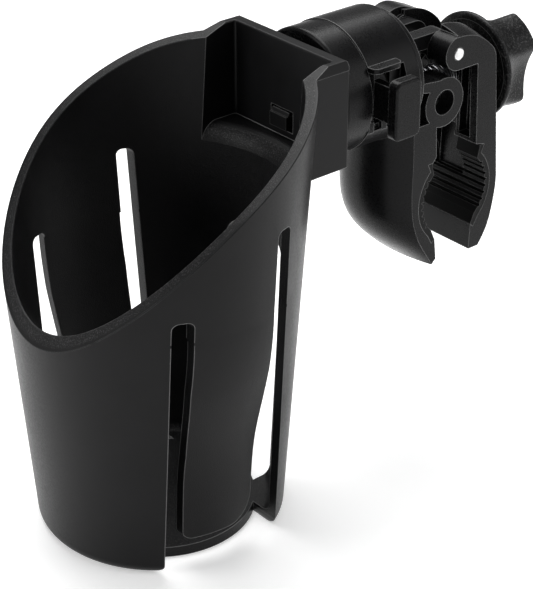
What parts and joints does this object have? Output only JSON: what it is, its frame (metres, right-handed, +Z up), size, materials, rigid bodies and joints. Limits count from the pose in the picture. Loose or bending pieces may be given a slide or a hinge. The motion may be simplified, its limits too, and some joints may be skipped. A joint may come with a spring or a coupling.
{
  "type": "clamp-on cup holder",
  "caption": "Tapered cup holder with a slanted rim and springy side tongues, on a swivel collar with push latches and a screw clamp for round bars.",
  "frame": {"origin": "centre of the round bar that the clamp's pads grip", "axes": "+X along the gripped bar, +Y from the cup towards the knob along the clamp screw and the swivel, +Z up, out of the cup's mouth"},
  "size_m": [0.0932, 0.189, 0.1441],
  "materials": {
    "black_plastic": "fine satin moulded black plastic, polypropylene",
    "neck_plastic": "smooth dark black plastic",
    "collar_plastic": "finely textured black plastic",
    "latch_plastic": "satin black plastic with a textured push face",
    "frame_plastic": "satin black plastic, glass filled",
    "clamp_plastic": "satin black plastic, glass filled",
    "knob_plastic": "satin black plastic with a textured skirt",
    "rubber": "matt black rubber",
    "steel": "zinc-plated steel",
    "bright_steel": "bright steel with a polished end",
    "spring_steel": "oiled spring wire"
  },
  "bodies": {
    "base": {"clamp_frame": "frame_plastic", "frame_screws": "steel", "swivel_collar": "collar_plastic", "front_ring": "collar_plastic", "fixed_jaw": "clamp_plastic", "fixed_jaw_pad": "rubber", "hinge_pin": "bright_steel", "latch_spring_right": "spring_steel", "latch_spring_left": "spring_steel"},
    "cup": {"cup_shell": "black_plastic", "swivel_spigot": "neck_plastic", "friction_ring": "rubber", "spigot_screw": "steel", "spigot_washer": "steel"},
    "finger_right": {"flex_finger_right": "black_plastic"},
    "finger_left": {"flex_finger_left": "black_plastic"},
    "latch_right": {"latch_right": "latch_plastic"},
    "latch_left": {"latch_left": "latch_plastic"},
    "jaw": {"moving_jaw": "clamp_plastic", "moving_jaw_pad": "rubber"},
    "nut": {"barrel_nut": "steel", "return_spring": "spring_steel"},
    "washer": {"thrust_washer": "steel"},
    "knob": {"clamp_screw": "steel", "knob": "knob_plastic", "knob_cap": "knob_plastic"}
  },
  "joints": [
    {"name": "cup_swivel", "type": "hinge", "parent": "base", "child": "cup", "pos_m": [0, -0.045, 0.0438], "axis": [0, 1, 0], "continuous": true},
    {"name": "finger_flex_right", "type": "hinge", "parent": "cup", "child": "finger_right", "pos_m": [0.04404, -0.109, 0.003], "axis": [0, -1, 0], "range_deg": [0, 6], "stiffness_Nm_per_rad": 1.2},
    {"name": "finger_flex_left", "type": "hinge", "parent": "cup", "child": "finger_left", "pos_m": [-0.04404, -0.109, 0.003], "axis": [0, 1, 0], "range_deg": [0, 6], "stiffness_Nm_per_rad": 1.2},
    {"name": "latch_push_right", "type": "slide", "parent": "base", "child": "latch_right", "axis": [-1, 0, 0], "range_m": [0, 0.0012], "stiffness_N_per_m": 1500, "springref_m": -0.0005, "deforming": ["latch_spring_right"]},
    {"name": "latch_push_left", "type": "slide", "parent": "base", "child": "latch_left", "axis": [1, 0, 0], "range_m": [0, 0.0012], "stiffness_N_per_m": 1500, "springref_m": -0.0005, "deforming": ["latch_spring_left"]},
    {"name": "jaw_pivot", "type": "hinge", "parent": "base", "child": "jaw", "pos_m": [0, -0.0016, 0.0488], "axis": [-1, 0, 0], "range_deg": [-16, 11], "deforming": ["return_spring"]},
    {"name": "nut_tilt", "type": "hinge", "parent": "base", "child": "nut", "pos_m": [0, -0.0068, 0.034], "axis": [-1, 0, 0], "range_deg": [-13.1, 9]},
    {"name": "screw_travel", "type": "slide", "parent": "nut", "child": "washer", "axis": [0, -1, 0], "range_m": [-0.00413, 0.00283]},
    {"name": "knob_turn", "type": "hinge", "parent": "washer", "child": "knob", "pos_m": [0, 0.03, 0.034], "axis": [0, -1, 0], "range_deg": [-1486, 1021]}
  ],
  "couplings": [
    {"joint": "knob_turn", "follows": "screw_travel", "rad_per_m": 6283.2},
    {"joint": "jaw_pivot", "follows": "screw_travel", "rad_per_m": 67.568},
    {"joint": "nut_tilt", "follows": "screw_travel", "rad_per_m": 55.152}
  ]
}
